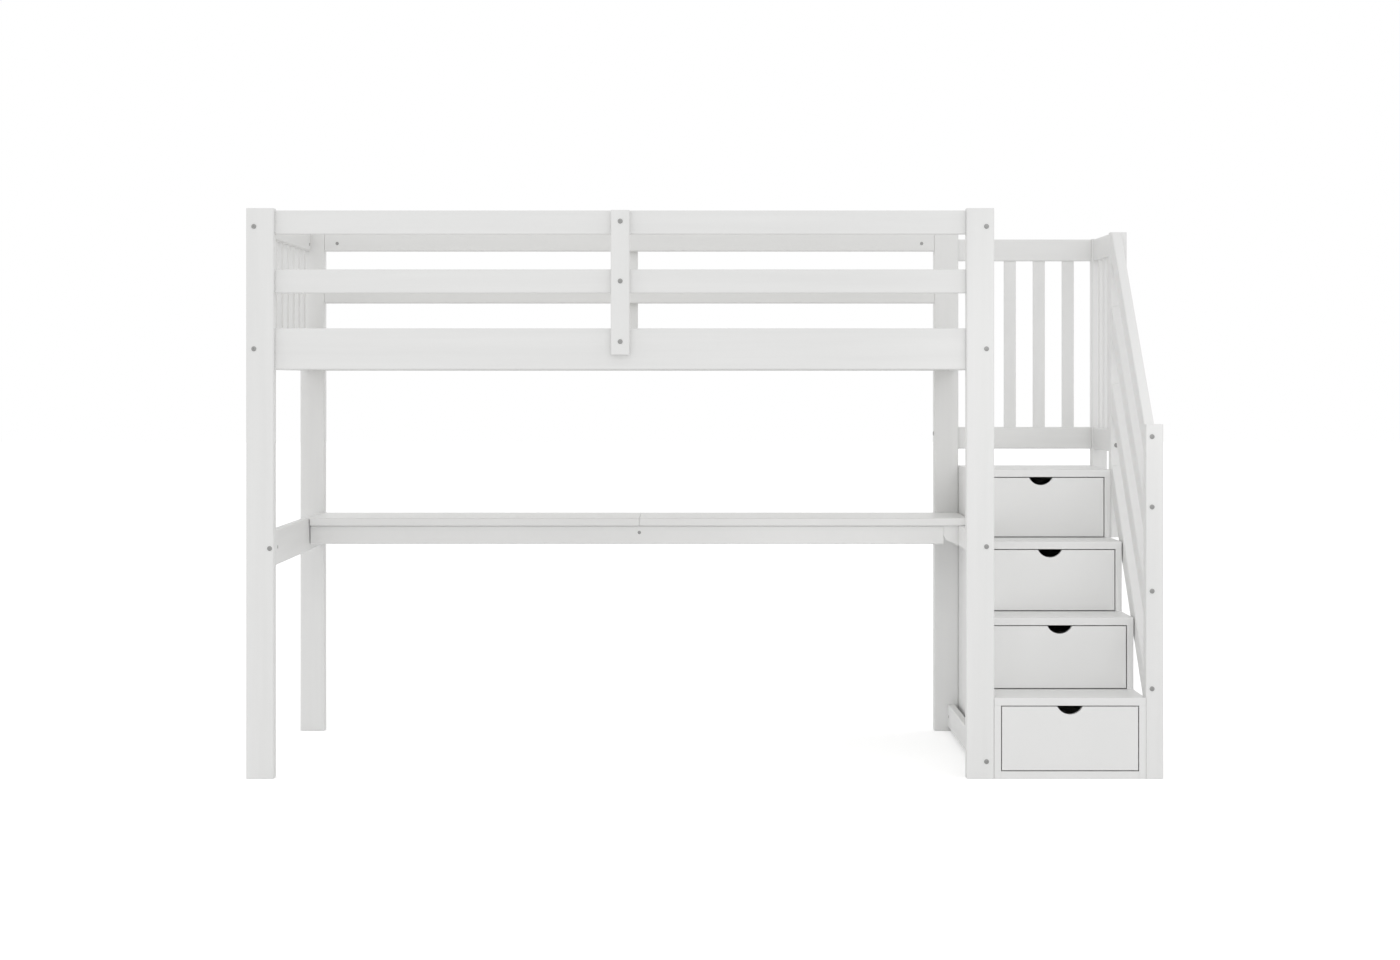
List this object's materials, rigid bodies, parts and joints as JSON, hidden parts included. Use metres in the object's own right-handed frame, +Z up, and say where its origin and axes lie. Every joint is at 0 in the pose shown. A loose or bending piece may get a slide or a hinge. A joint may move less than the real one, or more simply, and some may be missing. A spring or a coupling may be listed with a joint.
{
  "type": "loft bed",
  "caption": "Loft bed with a desk under it, guards all round and a stair at one end with a drawer in each step.",
  "frame": {"origin": "on the floor, at the middle of the bed and stairs seen from above", "axes": "+X towards the stairs, -Y towards the front where the drawers open, +Z up"},
  "size_m": [2.452, 1.083, 1.526],
  "materials": {
    "painted_wood": "satin white paint on solid wood",
    "painted_board": "satin white paint on board",
    "bare_wood": "thin white wash on softwood",
    "bolt_steel": "satin grey"
  },
  "bodies": {
    "root": {"post_front_left": "painted_wood", "post_front_right": "painted_wood", "post_back_left": "painted_wood", "post_back_right": "painted_wood", "side_rail_front": "painted_wood", "side_rail_back": "painted_wood", "guard_top_front": "painted_wood", "guard_top_back": "painted_wood", "guard_middle_front": "painted_wood", "guard_middle_back": "painted_wood", "upright_front": "painted_wood", "upright_back": "painted_wood", "left_end_rail": "painted_wood", "left_top_rail": "painted_wood", "right_end_rail": "painted_wood", "entry_guard_rail": "painted_wood", "entry_guard_upright": "painted_wood", "end_guard_slats": "painted_wood", "left_desk_rail": "painted_wood", "right_desk_rail": "painted_wood", "right_floor_rail": "painted_wood", "newel_post": "painted_wood", "middle_post": "painted_wood", "corner_post": "painted_wood", "slanted_rails": "painted_wood", "back_guard_rails": "painted_wood", "back_guard_slats": "painted_wood", "side_guard_rails": "painted_wood", "side_guard_slats": "painted_wood", "desk_board_left": "painted_board", "desk_board_right": "painted_board", "desk_apron": "painted_board", "desk_back_rail": "painted_board", "desk_bracket": "painted_board", "stair_panel_left": "painted_board", "stair_panel_right": "painted_board", "tread_1": "painted_board", "tread_2": "painted_board", "tread_3": "painted_board", "tread_4": "painted_board", "stair_base_board": "painted_board", "stair_back_panel": "painted_board", "slat_ledges": "bare_wood", "mattress_slats": "bare_wood", "desk_batten": "bare_wood", "connector_bolts": "bolt_steel"},
    "drawer_1": {"drawer_1_front": "painted_board", "drawer_1_box": "bare_wood", "drawer_1_bottom": "bare_wood"},
    "drawer_2": {"drawer_2_front": "painted_board", "drawer_2_box": "bare_wood", "drawer_2_bottom": "bare_wood"},
    "drawer_3": {"drawer_3_front": "painted_board", "drawer_3_box": "bare_wood", "drawer_3_bottom": "bare_wood"},
    "drawer_4": {"drawer_4_front": "painted_board", "drawer_4_box": "bare_wood", "drawer_4_bottom": "bare_wood"}
  },
  "joints": [
    {"name": "drawer_1_slide", "type": "slide", "parent": "root", "child": "drawer_1", "axis": [0, -1, 0], "range_m": [0, 0.28]},
    {"name": "drawer_2_slide", "type": "slide", "parent": "root", "child": "drawer_2", "axis": [0, -1, 0], "range_m": [0, 0.28]},
    {"name": "drawer_3_slide", "type": "slide", "parent": "root", "child": "drawer_3", "axis": [0, -1, 0], "range_m": [0, 0.28]},
    {"name": "drawer_4_slide", "type": "slide", "parent": "root", "child": "drawer_4", "axis": [0, -1, 0], "range_m": [0, 0.28]}
  ]
}
